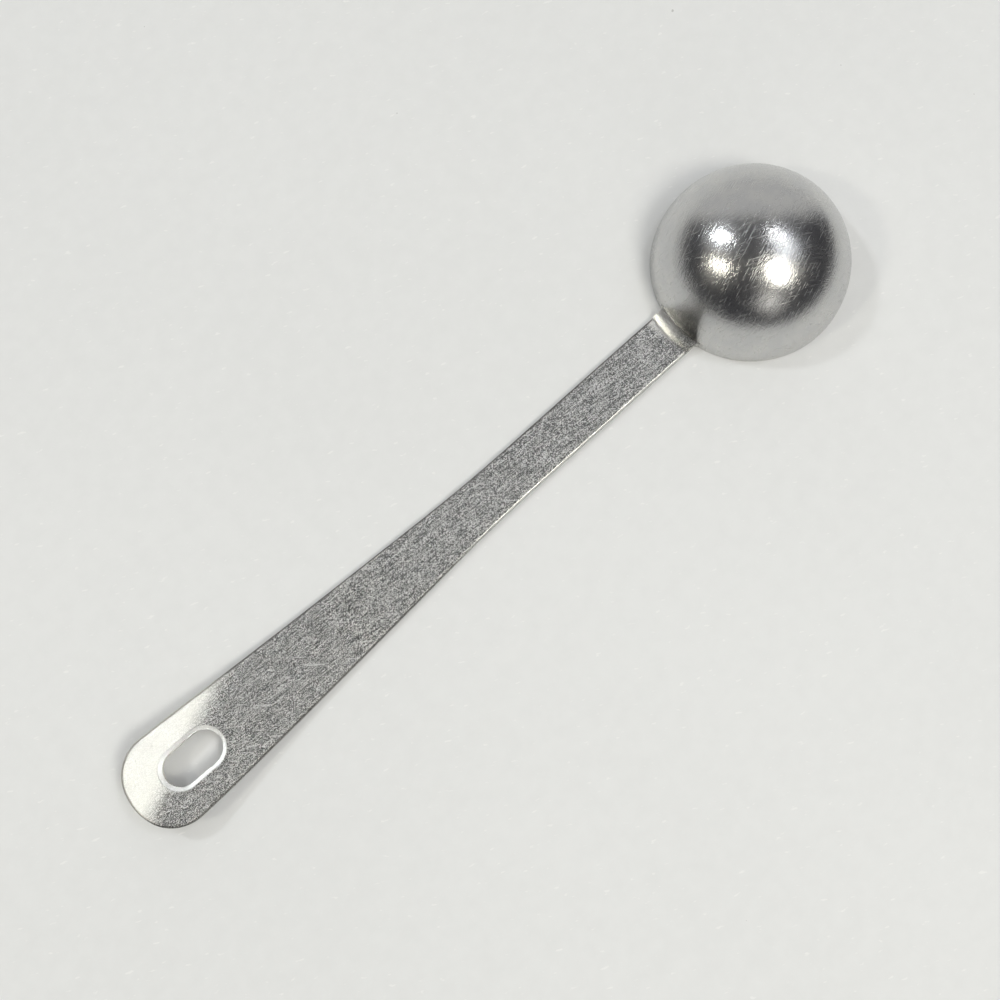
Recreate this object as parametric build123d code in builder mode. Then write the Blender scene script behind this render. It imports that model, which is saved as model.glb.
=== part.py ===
from build123d import *
import math
import os

# A measuring spoon of stainless steel that holds one tablespoon, lying with its bowl upside down.
# Millimetres. X runs along the handle towards the bowl, Y is across the handle and Z is up.
# The origin is the middle of the spoon's length, on the surface that the spoon rests on.

# Whole spoon
overall_length = 180.0

# Bowl: half of a hollow ball, 14.8 ml inside
bowl_inner_radius = 19.2
bowl_wall = 0.8
rim_bevel = 0.2

# Handle: a strip that is narrow at the bowl, flares, and ends in a round paddle. The shares are of
# the paddle's width: the flare's width where the paddle starts, the depth of the round end and the
# radius of its corners
handle_thickness = 1.4
neck_width = 9.8
paddle_width = 19.4
flare_length = 71.0
paddle_length = 16.0
flare_end_share = 0.952
paddle_cap_share = 0.242
paddle_corner_share = 0.412
neck_bend_radius = 350.0
paddle_bend_radius = 250.0
top_edge_round = 0.5
under_edge_round = 0.3

# Lift of the handle's outer end off the surface, in a long arc
lift_length = 56.0
lift_radius = 330.0

# Hanging slot with its pressed rim
slot_length = 12.5
slot_width = 7.1
slot_to_tip = 7.6
slot_rim_width = 0.8
slot_rim_depth = 0.3
slot_under_round = 0.25

# Low dressed weld on the handle along the bowl's wall: its toe curves up, and its back bulges
weld_reach = 2.9
weld_slope_degrees = 32.0
weld_toe_radius = 1.5
weld_back_radius = 3.6
weld_corner_radius = 0.8

# Distance that cutting shapes run past what they cut
overrun = 2.0

bowl_radius = bowl_inner_radius + bowl_wall
bowl_x = overall_length / 2 - bowl_radius
bowl_axis = Axis((bowl_x, 0, 0), (0, 0, 1))
tip_x = -overall_length / 2
neck_x = bowl_x - bowl_radius
inner_end_x = bowl_x - bowl_inner_radius + bowl_wall + top_edge_round
flare_end_x = tip_x + paddle_length
flare_start_x = flare_end_x + flare_length
flare_end_width = flare_end_share * paddle_width
corner_x = tip_x + paddle_cap_share * paddle_width
lift_x = tip_x + lift_length
slot_x = tip_x + slot_to_tip + slot_length / 2
weld_toe_x = neck_x - weld_reach
weld_width = (neck_width + 2 * weld_corner_radius) * bowl_radius / (bowl_radius + weld_corner_radius)


def pierced_faces(builder):
    """Faces with a hole through them, the lowest first."""
    return builder.faces().filter_by(lambda face: len(face.inner_wires()) > 0).sort_by(Axis.Z)


with BuildPart() as bowl:
    with BuildSketch(Plane.XZ):
        with Locations((bowl_x, 0)):
            Circle(bowl_radius)
            Circle(bowl_inner_radius, mode=Mode.SUBTRACT)
            Rectangle(bowl_radius, bowl_radius, align=(Align.MIN, Align.MIN), mode=Mode.INTERSECT)
    revolve(axis=bowl_axis)
    chamfer(bowl.edges().filter_by(GeomType.CIRCLE).group_by(Axis.Z)[0], rim_bevel)


with BuildPart() as handle:
    # Outline seen from above
    with BuildSketch() as outline:
        with BuildLine():
            side = FilletPolyline(
                (inner_end_x, neck_width / 2),
                (flare_start_x, neck_width / 2),
                (flare_end_x, flare_end_width / 2),
                (corner_x, paddle_width / 2),
                radius=(neck_bend_radius, paddle_bend_radius),
            )
            mirror(about=Plane.XZ)
            ThreePointArc(side @ 1, (tip_x, 0), (corner_x, -paddle_width / 2))
            Line((inner_end_x, neck_width / 2), (inner_end_x, -neck_width / 2))
        make_face()
        fillet(outline.vertices().group_by(Axis.X)[0], paddle_corner_share * paddle_width)
    extrude(amount=overall_length)

    # Side view: flat on the surface from the neck, then rising to the tip in an arc
    with BuildSketch(Plane.XZ):
        with BuildLine():
            rise = math.degrees((lift_length + overrun) / lift_radius)
            flat_under = Line((inner_end_x, 0), (lift_x, 0))
            arc_under = JernArc(flat_under @ 1, (-1, 0), lift_radius, -rise)
            flat_top = Line((inner_end_x, handle_thickness), (lift_x, handle_thickness))
            arc_top = JernArc(flat_top @ 1, (-1, 0), lift_radius - handle_thickness, -rise)
            Line(flat_under @ 0, flat_top @ 0)
            Line(arc_under @ 1, arc_top @ 1)
        make_face()
    extrude(amount=paddle_width, both=True, mode=Mode.INTERSECT)

    # Rounded edges all along the strip
    outline_edges = handle.edges().filter_by(Axis.Z, reverse=True).filter_by(Axis.Y, reverse=True)
    top_faces = handle.faces().filter_by(lambda face: face.normal_at().Z > math.sqrt(0.5))
    under_faces = handle.faces().filter_by(lambda face: face.normal_at().Z < -math.sqrt(0.5))
    fillet(outline_edges & top_faces.edges(), top_edge_round)
    fillet(handle.edges() & (outline_edges & under_faces.edges()), under_edge_round)

    # Hanging slot
    with BuildSketch():
        with Locations((slot_x, 0)):
            SlotOverall(slot_length, slot_width)
    extrude(amount=overall_length, mode=Mode.SUBTRACT)
    paddle_top = pierced_faces(handle)[-1]
    chamfer(paddle_top.inner_wires()[0].edges(), slot_rim_width, slot_rim_depth, reference=paddle_top)
    paddle_under = pierced_faces(handle)[0]
    fillet(paddle_under.inner_wires()[0].edges(), slot_under_round)

    # The neck end fits the bowl's wall
    with Locations((bowl_x, 0)):
        Sphere(bowl_radius, mode=Mode.SUBTRACT)


with BuildPart() as neck_weld:
    # Band round the bowl's wall
    with BuildSketch(Plane.XZ):
        with BuildLine():
            toe_arc = JernArc((weld_toe_x, handle_thickness), (1, 0), weld_toe_radius, weld_slope_degrees)
            back_arc = JernArc(toe_arc @ 1, toe_arc % 1, weld_back_radius, -2 * weld_slope_degrees)
            Polyline(back_arc @ 1, (bowl_x, 0), (weld_toe_x, 0), toe_arc @ 0)
        make_face()
    revolve(axis=bowl_axis)

    # Only the stretch on the neck stays, with a small hollow corner on each side of it
    with BuildSketch() as weld_outline:
        with Locations((bowl_x, 0)):
            Circle(bowl_radius)
            Rectangle(bowl_radius + weld_reach + overrun, neck_width, align=(Align.MAX, Align.CENTER))
            fillet(weld_outline.vertices().group_by(Axis.X)[1], weld_corner_radius)
            Rectangle(bowl_radius + weld_reach, weld_width, align=(Align.MAX, Align.CENTER), mode=Mode.INTERSECT)
    extrude(amount=bowl_radius, mode=Mode.INTERSECT)
    with Locations((bowl_x, 0)):
        Sphere(bowl_radius, mode=Mode.SUBTRACT)
    add(handle.part, mode=Mode.SUBTRACT)


bowl.part.label = "bowl"
handle.part.label = "handle"
neck_weld.part.label = "neck_weld"

os.makedirs("parts", exist_ok=True)
export_step(bowl.part, "parts/bowl.step")
export_step(handle.part, "parts/handle.step")
export_step(neck_weld.part, "parts/neck_weld.step")
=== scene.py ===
import math

import bmesh
import bpy
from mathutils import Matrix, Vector


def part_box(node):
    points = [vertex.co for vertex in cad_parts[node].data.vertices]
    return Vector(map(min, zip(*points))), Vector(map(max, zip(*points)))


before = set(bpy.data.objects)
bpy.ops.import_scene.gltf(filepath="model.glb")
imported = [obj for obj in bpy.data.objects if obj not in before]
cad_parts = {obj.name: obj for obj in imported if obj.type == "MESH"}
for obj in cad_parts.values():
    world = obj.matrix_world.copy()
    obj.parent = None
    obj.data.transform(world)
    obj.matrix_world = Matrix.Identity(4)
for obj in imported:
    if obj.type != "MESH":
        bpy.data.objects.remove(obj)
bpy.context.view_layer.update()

# Places read from the frame, in metres. X runs along the handle towards the bowl and Z is up
bowl_low, bowl_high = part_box("bowl")
weld_low, weld_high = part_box("neck_weld")
bowl_centre = Vector(((bowl_low.x + bowl_high.x) / 2, 0, 0))

# Camera, as the photograph was taken: from above, a little to the near side of the handle
camera_place = (-0.01561, -0.03269, 0.22527)
camera_turn = (math.radians(8.53), math.radians(2.167), math.radians(-41.904))
camera_lens = 41.4
camera_clip_start = 0.01

# Room: a pale backdrop all round, under a dark ceiling with a wide opening on one side. The
# ceiling's light for the floor goes from its low value to its full one between two heights
backdrop_colour = (0.6, 0.6, 0.59)
ceiling_colour = (0.038, 0.038, 0.043)
ceiling_light = (0.53, 0.53, 0.53)
ceiling_light_low = (0.18, 0.18, 0.18)
ceiling_light_heights = (0.2, 0.9)
ceiling_radius = 12.0
ceiling_skirt = 2.3
ceiling_segments = 96
ceiling_rings = 48
opening_azimuth = 46.0
opening_elevation = 5.0
opening_reach = 51.0
opening_blur = 5.0

# Lamps: direction from the bowl, power in watts, width in metres and colour
lamp_distance = 1.2
lamps = {
    "lamp_left_far": ((-0.261, 0.616, 0.743), 2.1, 0.13, (0.95, 0.98, 1.0)),
    "lamp_left_near": ((-0.662, 0.276, 0.696), 1.8, 0.13, (1.0, 0.965, 0.84)),
    "lamp_right_far": ((0.433, -0.072, 0.899), 1.15, 0.15, (0.97, 0.98, 1.0)),
    "lamp_right": ((0.392, -0.334, 0.857), 1.1, 0.5, (0.9, 0.94, 1.0)),
    "lamp_right_near": ((0.020, -0.571, 0.821), 5.0, 0.43, (1.0, 0.97, 0.88)),
    "lamp_low_near": ((-0.357, -0.810, 0.465), 0.6, 0.45, (1.0, 0.98, 0.93)),
}

# From here on, a range is where a change starts and where it is full, and a cover is how strongly
# a mark or a tone shows. Floor: a pale tabletop with a faint mottle, paler flakes and a few dark
# crumbs
floor_size = 6.0
floor_colour = (0.737, 0.744, 0.741)
floor_shades = (0.975, 1.02)
floor_roughness = 0.55
floor_specular = 0.2
floor_noises = {
    "mottle": {"scale": 260.0, "detail": 4.0, "roughness": 0.6},
    "patch": {"scale": 9.0},
    "flake": {"scale": 1100.0, "turn": 25.0, "stretch": (0.4, 1.0, 1.0)},
    "crumb": {"scale": 520.0, "detail": 1.0},
}
floor_tone = {"mottle": 0.5, "patch": 0.5}
floor_tone_range = (0.3, 0.7)
flake_range = (0.66, 0.74)
flake_cover = 0.5
flake_colour = (0.86, 0.86, 0.85)
crumb_range = (0.825, 0.835)
crumb_cover = 0.5
crumb_colour = (0.3, 0.29, 0.28)

# The steel mirrors the floor only as far as a table's edge, on the side where the camera stands.
# The edge is soft, between two distances from the bowl
mirrored_azimuth = -45.0
mirrored_range = (0.055, 0.135)

# Far away the floor fades into the backdrop. Under the object it is clear, so that the underside
# is lit. Along the handle the clear area starts where the handle comes down, and it narrows
# from the flare to the neck
fade_range = (0.25, 0.9)
clear_under_bowl = 0.0188
clear_under_neck = 0.0044
clear_range = (-0.062, -0.046)
flare_start_x = -0.003
flare_slope = 0.061

# Stamped sheet of the handle and the weld: its noises, what share each has in the tone and in
# the bumps, and the bumps' depth in metres
sheet_noises = {
    "speck": {"scale": 4650.0, "detail": 3.0, "roughness": 0.75},
    "coarse": {"scale": 1800.0, "turn": 60.0, "stretch": (0.6, 1.0, 1.0), "roughness": 0.6},
    "cloud": {"scale": 420.0, "detail": 3.0, "roughness": 0.6},
    "streak": {"scale": 4000.0, "turn": 4.0, "stretch": (0.08, 1.0, 1.0)},
    "rub": {"scale": 3600.0, "turn": -52.0, "stretch": (0.1, 1.0, 1.0)},
    "scratch": {"scale": 2200.0, "turn": 38.0, "stretch": (0.08, 1.0, 1.0), "detail": 1.0},
    "nick": {"scale": 1200.0, "detail": 1.0},
}
sheet_tone = {"speck": 0.72, "streak": 0.2, "rub": 0.08}
sheet_tone_range = (0.46, 0.56)
sheet_bumps = {
    "speck": 1.0,
    "streak": 0.8,
    "rub": 0.8,
    "coarse": 1.4,
    "scratch_mark": -0.6,
    "nick_mark": -1.6,
}
sheet_scratch_range = (0.68, 0.71)
sheet_scratch_cover = 0.6
sheet_nick_range = (0.7, 0.75)
sheet_cloud_range = (0.3, 0.7)
sheet_cloud_cover = 0.25
sheet_dark = (0.11, 0.11, 0.108)
sheet_light = (0.93, 0.927, 0.91)
sheet_cloud_colour = (0.37, 0.367, 0.36)
sheet_scratch_colour = (0.9, 0.9, 0.89)
sheet_roughness = 0.3
sheet_roughness_spread = 0.1
handle_bump = 0.000064
weld_bump = 0.000028

# Polished steel of the bowl
bowl_noises = {
    "rub": {"scale": 5000.0, "turn": -13.0, "stretch": (0.035, 1.0, 0.12)},
    "steep": {"scale": 4600.0, "turn": -30.0, "stretch": (0.035, 1.0, 0.12)},
    "cross": {"scale": 4800.0, "turn": 14.0, "stretch": (0.04, 1.0, 0.12)},
    "over": {"scale": 4600.0, "turn": 64.0, "stretch": (0.04, 1.0, 0.12)},
    "fine": {"scale": 5200.0, "turn": -22.0, "stretch": (0.12, 1.0, 0.5)},
    "scratch": {"scale": 5200.0, "turn": -20.0, "stretch": (0.04, 1.0, 0.12), "detail": 1.0},
    "slant": {"scale": 5200.0, "turn": 26.0, "stretch": (0.04, 1.0, 0.12), "detail": 1.0},
    "cloud": {"scale": 260.0, "detail": 3.0, "roughness": 0.55},
}
bowl_bumps = {"rub": 1.0, "steep": 1.0, "cross": 0.8, "over": 0.4, "fine": 0.8, "scratch_mark": -0.3}
bowl_scratch_range = (0.66, 0.7)
bowl_slant_range = (0.68, 0.72)
bowl_cloud_range = (0.35, 0.65)
bowl_dark = (0.57, 0.57, 0.572)
bowl_light = (0.61, 0.607, 0.598)
bowl_roughness = 0.22
bowl_roughness_spread = 0.08
bowl_scratch_roughness = 0.08
bowl_bump = 0.000021

# Wide end of the handle: faintly twisted beyond a line across it, and painted pale there as a highlight
twist_shift = (0.074, -0.0025, 0.0)
twist_direction = (-0.42, 0.91, 0.0)
twist_blur = 0.006
twist_tilt = 16.0
highlight_patch_range = (-0.002, 0.0035)
highlight_patch_cover = 0.85
patch_highlight_colour = (0.98, 0.955, 0.88)
highlight_patch_grain = 0.75
highlight_patch_roughness = 0.9

# Slot's pressed rim, polished. Its edge keeps one distance from the line between the middles of
# the slot's round ends. The second values of the turn and the cover hold on the wide end's painted
# highlight
slot_x = -0.07615
slot_straight = 0.0054
rim_edge = (0.00431, 0.00441)
rim_upward = (0.3, 0.6)
rim_level = (0.8, 0.88)
rim_facing = (0.07, 0.3, 0.95)
rim_turn = 0.62
rim_turn_in_patch = 0.42
rim_cover = 0.85
rim_cover_in_patch = 0.4
rim_colour = (0.69, 0.68, 0.65)
rim_grain = 0.35

# Rolled edges of the handle, found by how far their surface faces up and to which side. They
# get a painted highlight on the near side of the narrow part, and elsewhere painted shade, dark and
# rougher
edge_upper = (0.9, 0.98)
edge_lower = (0.1, 0.4)
edge_shine_range = (-0.024, 0.006)
shine_side = (-0.3, -0.1)
shine_cover = 0.85
shine_grain = 0.3
edge_shade_side = (-0.2, 0.1)
edge_shade_near = 0.6
edge_shade_far = 0.7
edge_shade_far_side = (0.05, 0.2)
edge_shade_in_patch = 0.15
painted_edge_shade_colour = (0.12, 0.115, 0.11)
edge_shade_roughness = 0.4

# Neck: a painted highlight, pale colour on the far side of the weld and on the handle just before it
painted_highlight_colour = (0.98, 0.97, 0.93)
neck_highlight_reach = 0.0015
neck_highlight_side = (-0.001, 0.003)
neck_highlight_cover = 0.7
weld_highlight_side = (-0.003, 0.0015)
weld_highlight_cover = (0.15, 0.9)

# Wedge of the bowl's wall by the weld, painted dark as a reflection of the handle. Each of its
# two edges has a place at the floor and a slope that leans it inwards with height. It ends
# between two heights, and between two distances past the weld
reflection_wedge_colour = (0.13, 0.127, 0.118)
reflection_wedge_near_y = -0.0053
reflection_wedge_near_slope = -0.27
reflection_wedge_near_blur = 0.0003
reflection_wedge_far_y = 0.0056
reflection_wedge_far_slope = 0.37
reflection_wedge_far_range = (0.0042, 0.0066)
reflection_wedge_top = (0.0105, 0.0145)
reflection_wedge_past_weld = (0.005, 0.009)
reflection_wedge_depth = (0.82, 0.22)


class Graph:
    """A material's or world's node tree, with one short method for each kind of node."""

    def __init__(self, owner):
        owner.use_nodes = True
        self.tree = owner.node_tree
        self.tree.nodes.clear()

    def node(self, kind, inputs=None, **settings):
        """A new node. An input is an output that is linked to it, or a plain value."""
        made = self.tree.nodes.new(kind)
        for name, value in settings.items():
            setattr(made, name, value)
        for name, value in (inputs or {}).items():
            self.feed(made.inputs[name], value)
        return made

    def feed(self, socket, value):
        """Links an output to a socket, or sets the socket to a plain value."""
        if isinstance(value, bpy.types.NodeSocket):
            self.tree.links.new(value, socket)
        else:
            socket.default_value = (*value, 1.0) if socket.type == "RGBA" else value

    def place(self):
        return self.node("ShaderNodeTexCoord").outputs["Object"]

    def ray(self):
        return self.node("ShaderNodeLightPath").outputs

    def parts(self, vector):
        """The X, Y and Z of a vector."""
        return self.node("ShaderNodeSeparateXYZ", {"Vector": vector}).outputs

    def mapped(self, vector, change, value):
        """The vector after one change: its Location, Rotation or Scale."""
        return self.node("ShaderNodeMapping", {"Vector": vector, change: value}).outputs["Vector"]

    def noise(self, vector, scale, detail=2.0, roughness=0.5, turn=0.0, stretch=None):
        """Noise. With a stretch, the vector is turned about Z in degrees and then stretched."""
        if stretch is not None:
            vector = self.mapped(vector, "Rotation", (0.0, 0.0, math.radians(turn)))
            vector = self.mapped(vector, "Scale", stretch)
        inputs = {"Vector": vector, "Scale": scale, "Detail": detail, "Roughness": roughness}
        return self.node("ShaderNodeTexNoise", inputs).outputs["Fac"]

    def noises(self, vector, table):
        return {name: self.noise(vector, **settings) for name, settings in table.items()}

    def step(self, value, low, high, to_low=0.0, to_high=1.0):
        """A smooth change from to_low to to_high as the value goes from low to high."""
        inputs = {"Value": value, "From Min": low, "From Max": high, "To Min": to_low, "To Max": to_high}
        return self.node("ShaderNodeMapRange", inputs, interpolation_type="SMOOTHSTEP").outputs["Result"]

    def fall(self, value, low, high):
        """A smooth fall from 1 to 0 as the value goes from low to high."""
        return self.step(value, low, high, 1.0, 0.0)

    def between(self, share, at_none, at_full):
        """A smooth change from one value to another as the share goes from 0 to 1."""
        return self.step(share, 0.0, 1.0, at_none, at_full)

    def maths(self, operation, *values):
        return self.node("ShaderNodeMath", dict(enumerate(values)), operation=operation).outputs["Value"]

    def vector_maths(self, operation, *values):
        return self.node("ShaderNodeVectorMath", dict(enumerate(values)), operation=operation).outputs

    def chain(self, operation, first, *others):
        for other in others:
            first = self.maths(operation, first, other)
        return first

    def sum(self, *values):
        return self.chain("ADD", *values)

    def product(self, *values):
        return self.chain("MULTIPLY", *values)

    def largest(self, *values):
        return self.chain("MAXIMUM", *values)

    def weighted(self, values, weights):
        """The sum of the named values, each times its weight."""
        return self.sum(*(self.product(values[name], weight) for name, weight in weights.items()))

    def blend(self, share, first, second, kind="RGBA"):
        """A colour between two colours or, with kind VECTOR, a direction between two directions."""
        made = self.node("ShaderNodeMix", {"Factor": share}, data_type=kind)
        for name, value in (("A", first), ("B", second)):
            self.feed(next(s for s in made.inputs if s.name == name and s.type == kind), value)
        return next(s for s in made.outputs if s.type == kind)

    def bump(self, height, distance, **normal):
        """A surface direction bent by a height. A keyword Normal gives the direction to start from."""
        inputs = {"Height": height, "Distance": distance, **normal}
        return self.node("ShaderNodeBump", inputs).outputs["Normal"]

    def emission(self, colour):
        return self.node("ShaderNodeEmission", {"Color": colour}).outputs["Emission"]

    def mixed(self, share, first, second):
        """A shader between two shaders."""
        return self.node("ShaderNodeMixShader", {0: share, 1: first, 2: second}).outputs["Shader"]

    def finish(self, shader):
        self.node("ShaderNodeOutputMaterial", {"Surface": shader})


def steel(graph, colour, roughness, normal):
    """The shader that all the steel shares."""
    inputs = {"Metallic": 1.0, "Base Color": colour, "Roughness": roughness, "Normal": normal}
    graph.finish(graph.node("ShaderNodeBsdfPrincipled", inputs).outputs["BSDF"])


def sheet_grain(graph, place):
    """Colour, roughness and bump heights of the stamped sheet: specks, streaks and scratches."""
    noises = graph.noises(place, sheet_noises)
    noises["scratch_mark"] = graph.step(noises["scratch"], *sheet_scratch_range)
    noises["nick_mark"] = graph.step(noises["nick"], *sheet_nick_range)
    tone = graph.weighted(noises, sheet_tone)
    colour = graph.blend(graph.step(tone, *sheet_tone_range), sheet_dark, sheet_light)
    clouded = graph.step(noises["cloud"], *sheet_cloud_range, 0.0, sheet_cloud_cover)
    colour = graph.blend(clouded, colour, sheet_cloud_colour)
    scratched = graph.product(noises["scratch_mark"], sheet_scratch_cover)
    colour = graph.blend(scratched, colour, sheet_scratch_colour)
    roughness = graph.sum(graph.product(noises["cloud"], sheet_roughness_spread), sheet_roughness)
    return colour, roughness, graph.weighted(noises, sheet_bumps)


def away_from_slot(graph, place):
    """0 on the slot's rim and 1 beyond it."""
    past_middle = graph.maths("ABSOLUTE", graph.sum(place["X"], -slot_x))
    past_straight = graph.maths("MAXIMUM", graph.sum(past_middle, -slot_straight / 2), 0.0)
    squares = graph.sum(graph.product(past_straight, past_straight), graph.product(place["Y"], place["Y"]))
    return graph.step(graph.maths("SQRT", squares), *rim_edge)


def handle_steel():
    """Stamped sheet with a sparkling grain. Its wide end is faintly twisted and painted pale there as a
    highlight.
    """
    material = bpy.data.materials.new("handle_steel")
    graph = Graph(material)
    whole_place = graph.place()
    colour, roughness, grain = sheet_grain(graph, whole_place)
    place = graph.parts(whole_place)
    whole_facing = graph.node("ShaderNodeNewGeometry").outputs["Normal"]
    facing = graph.parts(whole_facing)
    clear_of_slot = away_from_slot(graph, place)

    # Twist and painted highlight of the wide end
    shifted = graph.mapped(whole_place, "Location", twist_shift)
    across = graph.vector_maths("DOT_PRODUCT", shifted, twist_direction)["Value"]
    highlight_patch = graph.step(across, *highlight_patch_range)
    colour = graph.blend(graph.product(highlight_patch, highlight_patch_cover), colour, patch_highlight_colour)
    grain = graph.product(grain, graph.between(highlight_patch, 1.0, highlight_patch_grain))
    roughness = graph.product(roughness, graph.between(highlight_patch, 1.0, highlight_patch_roughness))

    # Shading that turns the slot's rim, and then the wide end, a little to the far side
    rim = graph.product(graph.step(facing["Z"], *rim_upward), graph.fall(clear_of_slot, 0.0, 1.0))
    level = graph.step(facing["Z"], *rim_level)
    turn = graph.product(rim, graph.between(highlight_patch, rim_turn, rim_turn_in_patch), level)
    turned = graph.blend(turn, whole_facing, rim_facing, "VECTOR")
    beyond = graph.maths("SMOOTH_MAX", across, 0.0, twist_blur)
    slope = graph.product(beyond, -math.tan(math.radians(twist_tilt)))
    twist = graph.bump(slope, 1.0, Normal=turned)

    # Painted highlight along the weld, on the far side
    by_weld = graph.step(place["X"], weld_low.x - neck_highlight_reach, weld_low.x)
    neck_highlight = graph.product(by_weld, graph.step(place["Y"], *neck_highlight_side))
    colour = graph.blend(graph.product(neck_highlight, neck_highlight_cover), colour, painted_highlight_colour)

    # Polished rim of the slot
    polished = graph.product(rim, graph.between(highlight_patch, rim_cover, rim_cover_in_patch))
    colour = graph.blend(polished, colour, rim_colour)
    grain = graph.product(grain, graph.between(rim, 1.0, rim_grain))

    # Painted shade and painted highlight of the rolled edges
    upper = graph.fall(facing["Z"], *edge_upper)
    edge = graph.product(upper, clear_of_slot, graph.step(facing["Z"], *edge_lower))
    wide_part = graph.fall(place["X"], *edge_shine_range)
    shaded_part = graph.largest(wide_part, graph.step(facing["Y"], *edge_shade_far_side))
    by_side = graph.step(facing["Y"], *edge_shade_side, edge_shade_near, edge_shade_far)
    edge_shade = graph.product(edge, shaded_part, by_side, graph.between(highlight_patch, 1.0, edge_shade_in_patch))
    colour = graph.blend(edge_shade, colour, painted_edge_shade_colour)
    roughness = graph.sum(roughness, graph.product(edge_shade, edge_shade_roughness))
    narrow_part = graph.fall(wide_part, 0.0, 1.0)
    shine = graph.product(edge, narrow_part, graph.fall(facing["Y"], *shine_side))
    colour = graph.blend(graph.product(shine, shine_cover), colour, painted_highlight_colour)
    grain = graph.product(grain, graph.between(shine, 1.0, shine_grain))

    steel(graph, colour, roughness, graph.bump(grain, handle_bump, Normal=twist))
    return material


def painted_handle_reflection(graph, place):
    """Share of the painted reflection by the weld: a dark wedge up the bowl's wall, deepest along its near
    side.
    """
    to_near = graph.sum(place["Y"], graph.product(place["Z"], reflection_wedge_near_slope))
    to_far = graph.sum(place["Y"], graph.product(place["Z"], reflection_wedge_far_slope))
    near_edge = graph.step(to_near, reflection_wedge_near_y - reflection_wedge_near_blur, reflection_wedge_near_y + reflection_wedge_near_blur)
    far_edge = graph.fall(to_far, *reflection_wedge_far_range)
    depth = graph.step(to_far, reflection_wedge_near_y, reflection_wedge_far_y, *reflection_wedge_depth)
    below_top = graph.fall(place["Z"], *reflection_wedge_top)
    by_weld = graph.fall(place["X"], *(weld_high.x + reach for reach in reflection_wedge_past_weld))
    return graph.product(near_edge, far_edge, depth, graph.product(below_top, by_weld))


def bowl_steel():
    """Polished to a soft satin, and rubbed all over with short fine scratches."""
    material = bpy.data.materials.new("bowl_steel")
    graph = Graph(material)
    place = graph.place()
    noises = graph.noises(place, bowl_noises)
    scratched = graph.step(noises["scratch"], *bowl_scratch_range)
    slanted = graph.step(noises["slant"], *bowl_slant_range)
    noises["scratch_mark"] = graph.largest(scratched, slanted)
    colour = graph.blend(graph.step(noises["cloud"], *bowl_cloud_range), bowl_dark, bowl_light)
    # Painted reflection of the handle: a dark wedge on the wall by the weld
    colour = graph.blend(painted_handle_reflection(graph, graph.parts(place)), colour, reflection_wedge_colour)
    clouded = graph.product(noises["cloud"], bowl_roughness_spread)
    marked = graph.product(noises["scratch_mark"], bowl_scratch_roughness)
    roughness = graph.sum(clouded, bowl_roughness, marked)
    height = graph.weighted(noises, bowl_bumps)
    steel(graph, colour, roughness, graph.bump(height, bowl_bump))
    return material


def weld_steel():
    """The dressed weld, with the handle's grain rubbed smoother and a pale painted highlight on its far
    side.
    """
    material = bpy.data.materials.new("weld_steel")
    graph = Graph(material)
    place = graph.place()
    colour, roughness, height = sheet_grain(graph, place)
    neck_highlight = graph.step(graph.parts(place)["Y"], *weld_highlight_side, *weld_highlight_cover)
    # Painted highlight: paler colour on the weld's far side
    colour = graph.blend(neck_highlight, colour, painted_highlight_colour)
    steel(graph, colour, roughness, graph.bump(height, weld_bump))
    return material


def seen(graph):
    """1 for the camera and for what metal and glass show."""
    ray = graph.ray()
    return graph.largest(ray["Is Camera Ray"], ray["Is Glossy Ray"], ray["Is Transmission Ray"])


def covered(graph, place):
    """1 where the bowl or the flat of the handle lies on the floor, a little inside its edges."""
    from_bowl = graph.vector_maths("DISTANCE", place, bowl_centre)["Value"]
    under_bowl = graph.maths("LESS_THAN", from_bowl, clear_under_bowl)
    parts = graph.parts(place)
    flare = graph.product(graph.maths("SUBTRACT", flare_start_x, parts["X"]), flare_slope)
    half_width = graph.sum(graph.maths("MAXIMUM", flare, 0.0), clear_under_neck)
    within = graph.maths("LESS_THAN", graph.maths("ABSOLUTE", parts["Y"]), half_width)
    come_down = graph.step(parts["X"], *clear_range)
    before_bowl = graph.maths("LESS_THAN", parts["X"], bowl_centre.x)
    return graph.largest(under_bowl, graph.product(within, come_down, before_bowl))


def floor_surface(graph, place):
    """The tabletop itself, before anything is cleared or faded."""
    noises = graph.noises(place, floor_noises)
    darker, paler = (tuple(shade * value for value in floor_colour) for shade in floor_shades)
    tone = graph.weighted(noises, floor_tone)
    colour = graph.blend(graph.step(tone, *floor_tone_range), darker, paler)
    flakes = graph.step(noises["flake"], *flake_range, 0.0, flake_cover)
    colour = graph.blend(flakes, colour, flake_colour)
    crumbs = graph.step(noises["crumb"], *crumb_range, 0.0, crumb_cover)
    colour = graph.blend(crumbs, colour, crumb_colour)
    inputs = {"Base Color": colour, "Roughness": floor_roughness, "Specular IOR Level": floor_specular}
    return graph.node("ShaderNodeBsdfPrincipled", inputs).outputs["BSDF"]


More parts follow.
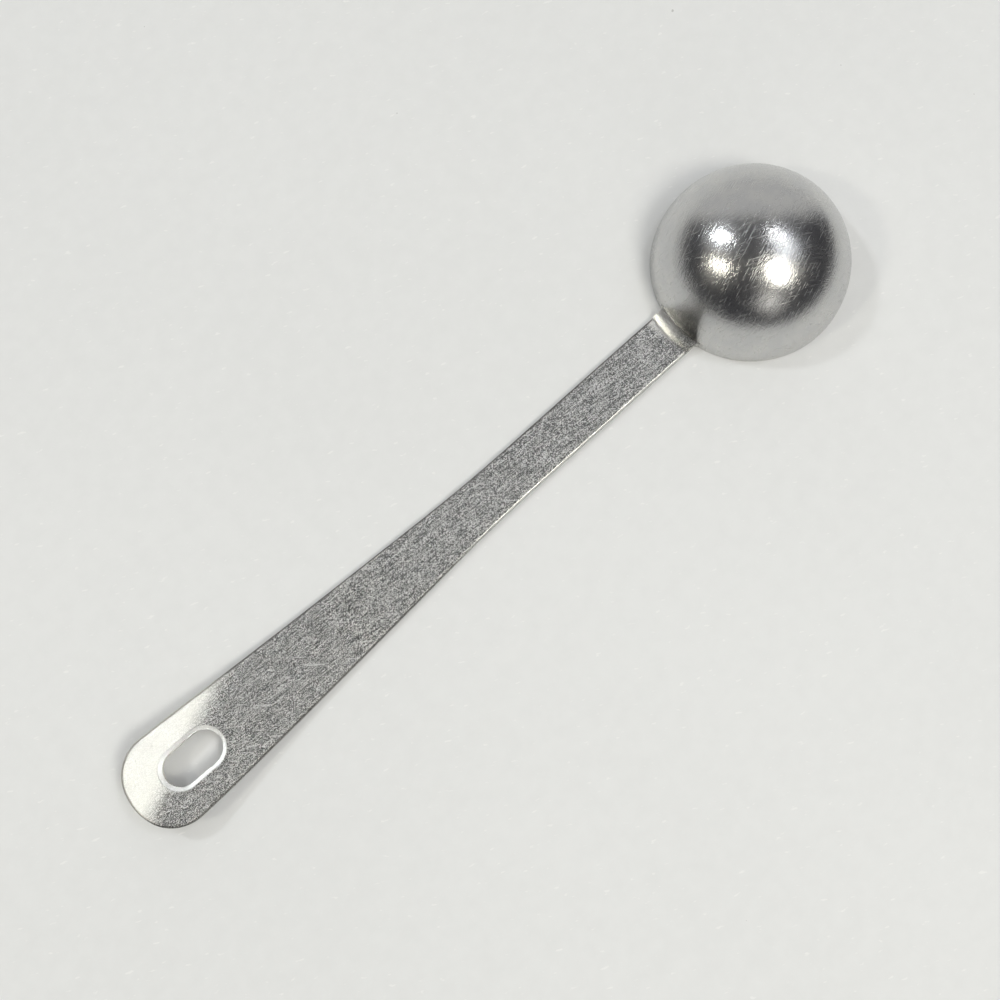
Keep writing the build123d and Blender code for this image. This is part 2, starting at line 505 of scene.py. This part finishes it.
def floor_material():
    """Pale tabletop that fades into the backdrop. It is clear in three places: from below, under the
    object, and beyond the table's edge where the steel mirrors it."""
    material = bpy.data.materials.new("floor")
    graph = Graph(material)
    place = graph.place()
    from_bowl = graph.mapped(place, "Location", -bowl_centre)
    azimuth = math.radians(mirrored_azimuth)
    direction = (math.cos(azimuth), math.sin(azimuth), 0.0)
    away = graph.vector_maths("DOT_PRODUCT", from_bowl, direction)["Value"]
    past_table = graph.product(graph.step(away, *mirrored_range), graph.ray()["Is Glossy Ray"])
    from_below = graph.node("ShaderNodeNewGeometry").outputs["Backfacing"]
    clear = graph.largest(past_table, from_below, covered(graph, place))
    distance = graph.vector_maths("LENGTH", place)["Value"]
    fading = graph.product(graph.step(distance, *fade_range), seen(graph))
    tabletop = graph.mixed(fading, floor_surface(graph, place), graph.emission(backdrop_colour))
    open_air = graph.node("ShaderNodeBsdfTransparent").outputs["BSDF"]
    graph.finish(graph.mixed(clear, tabletop, open_air))
    return material


def make_floor():
    half = floor_size / 2
    mesh = bpy.data.meshes.new("floor")
    corners = [(-half, -half, 0), (half, -half, 0), (half, half, 0), (-half, half, 0)]
    mesh.from_pydata(corners, [], [(0, 1, 2, 3)])
    floor = bpy.data.objects.new("floor", mesh)
    bpy.context.scene.collection.objects.link(floor)
    mesh.materials.append(floor_material())


def make_world():
    """A plain pale backdrop, seen by the camera and mirrored by the steel alike."""
    world = bpy.data.worlds.new("backdrop")
    bpy.context.scene.world = world
    graph = Graph(world)
    background = graph.node("ShaderNodeBackground", {"Color": backdrop_colour})
    graph.node("ShaderNodeOutputWorld", {"Surface": background.outputs["Background"]})


def ceiling_material():
    """Dark where the steel mirrors it, and softly lit for the floor. It is clear in the opening
    and to the camera."""
    material = bpy.data.materials.new("ceiling")
    graph = Graph(material)
    azimuth, elevation = math.radians(opening_azimuth), math.radians(opening_elevation)
    level = math.cos(elevation)
    facing = (level * math.cos(azimuth), level * math.sin(azimuth), math.sin(elevation))
    direction = graph.vector_maths("NORMALIZE", graph.place())["Vector"]
    toward = graph.vector_maths("DOT_PRODUCT", direction, facing)["Value"]
    outer = math.cos(math.radians(opening_reach + opening_blur))
    inner = math.cos(math.radians(opening_reach - opening_blur))
    ray = graph.ray()
    clear = graph.largest(graph.step(toward, outer, inner), ray["Is Camera Ray"])
    height = graph.step(graph.parts(direction)["Z"], *ceiling_light_heights)
    light = graph.blend(height, ceiling_light_low, ceiling_light)
    shown = graph.emission(graph.blend(ray["Is Diffuse Ray"], ceiling_colour, light))
    open_air = graph.node("ShaderNodeBsdfTransparent").outputs["BSDF"]
    graph.finish(graph.mixed(clear, shown, open_air))
    return material


def make_ceiling():
    """Half a ball over the floor with a skirt below it, far outside the lamps."""
    mesh = bpy.data.meshes.new("ceiling")
    shape = bmesh.new()
    bmesh.ops.create_uvsphere(
        shape, u_segments=ceiling_segments, v_segments=ceiling_rings, radius=ceiling_radius
    )
    low = [vertex for vertex in shape.verts if vertex.co.z < -ceiling_skirt]
    bmesh.ops.delete(shape, geom=low, context="VERTS")
    shape.to_mesh(mesh)
    shape.free()
    ceiling = bpy.data.objects.new("ceiling", mesh)
    bpy.context.scene.collection.objects.link(ceiling)
    ceiling.location = bowl_centre
    mesh.materials.append(ceiling_material())


def make_lamps():
    for name, (direction, power, width, colour) in lamps.items():
        light = bpy.data.lights.new(name, "AREA")
        light.shape = "DISK"
        light.size = width
        light.energy = power
        light.color = colour
        lamp = bpy.data.objects.new(name, light)
        bpy.context.scene.collection.objects.link(lamp)
        away = Vector(direction).normalized()
        lamp.location = bowl_centre + away * lamp_distance
        lamp.rotation_euler = away.to_track_quat("Z", "Y").to_euler()


def make_camera():
    data = bpy.data.cameras.new("camera")
    data.lens = camera_lens
    data.clip_start = camera_clip_start
    camera = bpy.data.objects.new("camera", data)
    bpy.context.scene.collection.objects.link(camera)
    camera.location = camera_place
    camera.rotation_euler = camera_turn
    bpy.context.scene.camera = camera


def dress(node, material):
    """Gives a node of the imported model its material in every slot."""
    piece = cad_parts[node]
    if not piece.material_slots:
        piece.data.materials.append(material)
    for slot in piece.material_slots:
        slot.material = material


make_camera()
make_world()
make_lamps()
make_floor()
make_ceiling()
dress("bowl", bowl_steel())
dress("handle", handle_steel())
dress("neck_weld", weld_steel())
bpy.context.scene.view_settings.view_transform = "Standard"
